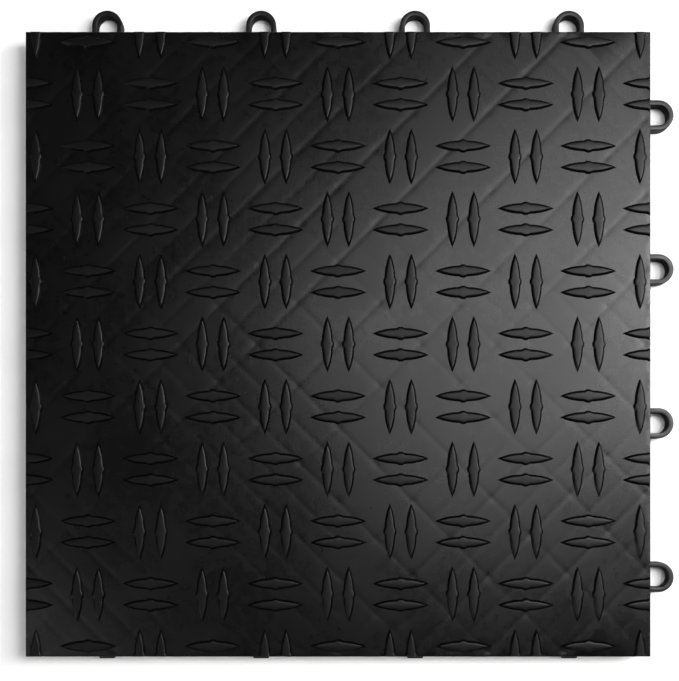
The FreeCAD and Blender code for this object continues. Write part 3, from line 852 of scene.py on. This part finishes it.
# The wall's radius is a share of the floor's reach.
FLOOR_REACH, BACKDROP_HIGH, BACKDROP_SHARE = 12.0, 9.0, 0.98
# Brightness of the surroundings at each height, from the horizon to overhead, as reflections show it.
WORLD_STEPS = [(0.0, 0.06), (0.14, 0.06), (0.3, 0.36), (0.48, 0.36), (0.64, 0.004)]

# The frame's long side at the deck's height, the camera's height above the deck, and how far the camera's
# axis is below the middle of the frame.
VIEW_SPAN = 332 * MM
CAMERA_HEIGHT = 480 * MM
VIEW_SHIFT = 0.2
VIEW_MIDDLE = Vector((0.7 * MM, 1.8 * MM, 0))


def make_camera():
    data = bpy.data.cameras.new("camera")
    camera = bpy.data.objects.new("camera", data)
    bpy.context.scene.collection.objects.link(camera)
    data.lens = data.sensor_width * CAMERA_HEIGHT / VIEW_SPAN
    data.shift_y = VIEW_SHIFT
    data.clip_start, data.clip_end = 0.01, 50
    camera.location = VIEW_MIDDLE + Vector((0, -VIEW_SHIFT * VIEW_SPAN, DECK_TOP + CAMERA_HEIGHT))
    bpy.context.scene.camera = camera


def softbox(name, azimuth, elevation, distance, wide, high, power):
    """A rectangular light that looks at the tile. Azimuth counts from +X towards +Y."""
    data = bpy.data.lights.new(name, "AREA")
    data.shape = "RECTANGLE"
    data.size, data.size_y, data.energy = wide, high, power
    light = bpy.data.objects.new(name, data)
    bpy.context.scene.collection.objects.link(light)
    a, e = math.radians(azimuth), math.radians(elevation)
    towards = Vector((math.cos(a) * math.cos(e), math.sin(a) * math.cos(e), math.sin(e)))
    light.location = towards * distance
    light.rotation_mode = "QUATERNION"
    light.rotation_quaternion = towards.to_track_quat("Z", "Y")


def make_studio():
    softbox("key_softbox", azimuth=36, elevation=70, distance=1.6, wide=0.63, high=0.98, power=12.5)
    softbox("side_softbox", azimuth=12.5, elevation=45, distance=1.6, wide=0.55, high=1.2, power=31)
    softbox("fill_softbox", azimuth=215, elevation=58, distance=1.6, wide=0.5, high=0.5, power=1.35)
    softbox("low_softbox", azimuth=212, elevation=17, distance=1.0, wide=0.35, high=0.3, power=1.6)
    world = bpy.data.worlds.new("studio")
    bpy.context.scene.world = world
    world.use_nodes = True
    tree = world.node_tree
    place = tree.nodes.new("ShaderNodeTexCoord")
    split = tree.nodes.new("ShaderNodeSeparateXYZ")
    ramp = tree.nodes.new("ShaderNodeValToRGB")
    tree.links.new(place.outputs["Generated"], split.inputs["Vector"])
    tree.links.new(split.outputs["Z"], ramp.inputs["Fac"])
    stops = ramp.color_ramp.elements
    while len(stops) < len(WORLD_STEPS):
        stops.new(1.0)
    for stop, (height, brightness) in zip(stops, WORLD_STEPS):
        stop.position = height
        stop.color = (brightness, brightness, brightness, 1)
    tree.links.new(ramp.outputs["Color"], tree.nodes["Background"].inputs["Color"])
    bpy.context.scene.view_settings.view_transform = "Standard"


def make_surroundings():
    """The floor, and a round wall far behind it that only the camera sees."""
    reach = FLOOR_REACH
    mesh = bpy.data.meshes.new("floor")
    corners = [(-reach, -reach, 0), (reach, -reach, 0), (reach, reach, 0), (-reach, reach, 0)]
    mesh.from_pydata(corners, [], [(0, 1, 2, 3)])
    mesh.materials.append(pale_floor())
    floor = bpy.data.objects.new("floor", mesh)
    bpy.context.scene.collection.objects.link(floor)
    bm = bmesh.new()
    radius = reach * BACKDROP_SHARE
    steps = 96
    rows = []
    for z in (0, BACKDROP_HIGH):
        turns = [2 * math.pi * k / steps for k in range(steps + 1)]
        rows.append([Vector((radius * math.cos(a), radius * math.sin(a), z)) for a in turns])
    add_grid(bm, rows)
    wall_mesh = bpy.data.meshes.new("backdrop")
    bm.to_mesh(wall_mesh)
    bm.free()
    wall_mesh.materials.append(backdrop_paint())
    wall = bpy.data.objects.new("backdrop", wall_mesh)
    bpy.context.scene.collection.objects.link(wall)
    wall.visible_diffuse = wall.visible_glossy = wall.visible_shadow = False


# ---- put together ----

connector = connector_plastic()
# a darker copy of the plastic, as painted shade on the loops' walls and on the tongues
shaded_connector_wall = painted_shade_plastic("connector_wall_painted_shade", 0.5, 0.65)
underside = underside_plastic()
make_deck(tread_plastic("deck_plastic", 0.25, 0.32, shine=0.27, worn=False))
lug_top = tread_plastic("lug_plastic", 0.36, 0.46, shine=0.19, worn=True)
# a darker copy of the plastic for the lug flanks, as painted shade
shaded_lug_flank = painted_shade_plastic("flank_painted_shade", 0.24, 0.34)
make_lugs(lug_top, shaded_lug_flank)
for side in TURNS:
    make_wall(side, underside)
    for number in STATIONS:
        if side in LOOP_SIDES:
            make_loop(side, number, connector, shaded_connector_wall)
        else:
            make_peg(side, number, connector)
            # the tongues are wholly in the darker copy, painted shade for the deck's shadow over them
            make_tongue(side, number, shaded_connector_wall)
make_ribs(underside)
make_posts(underside)
make_camera()
make_studio()
make_surroundings()
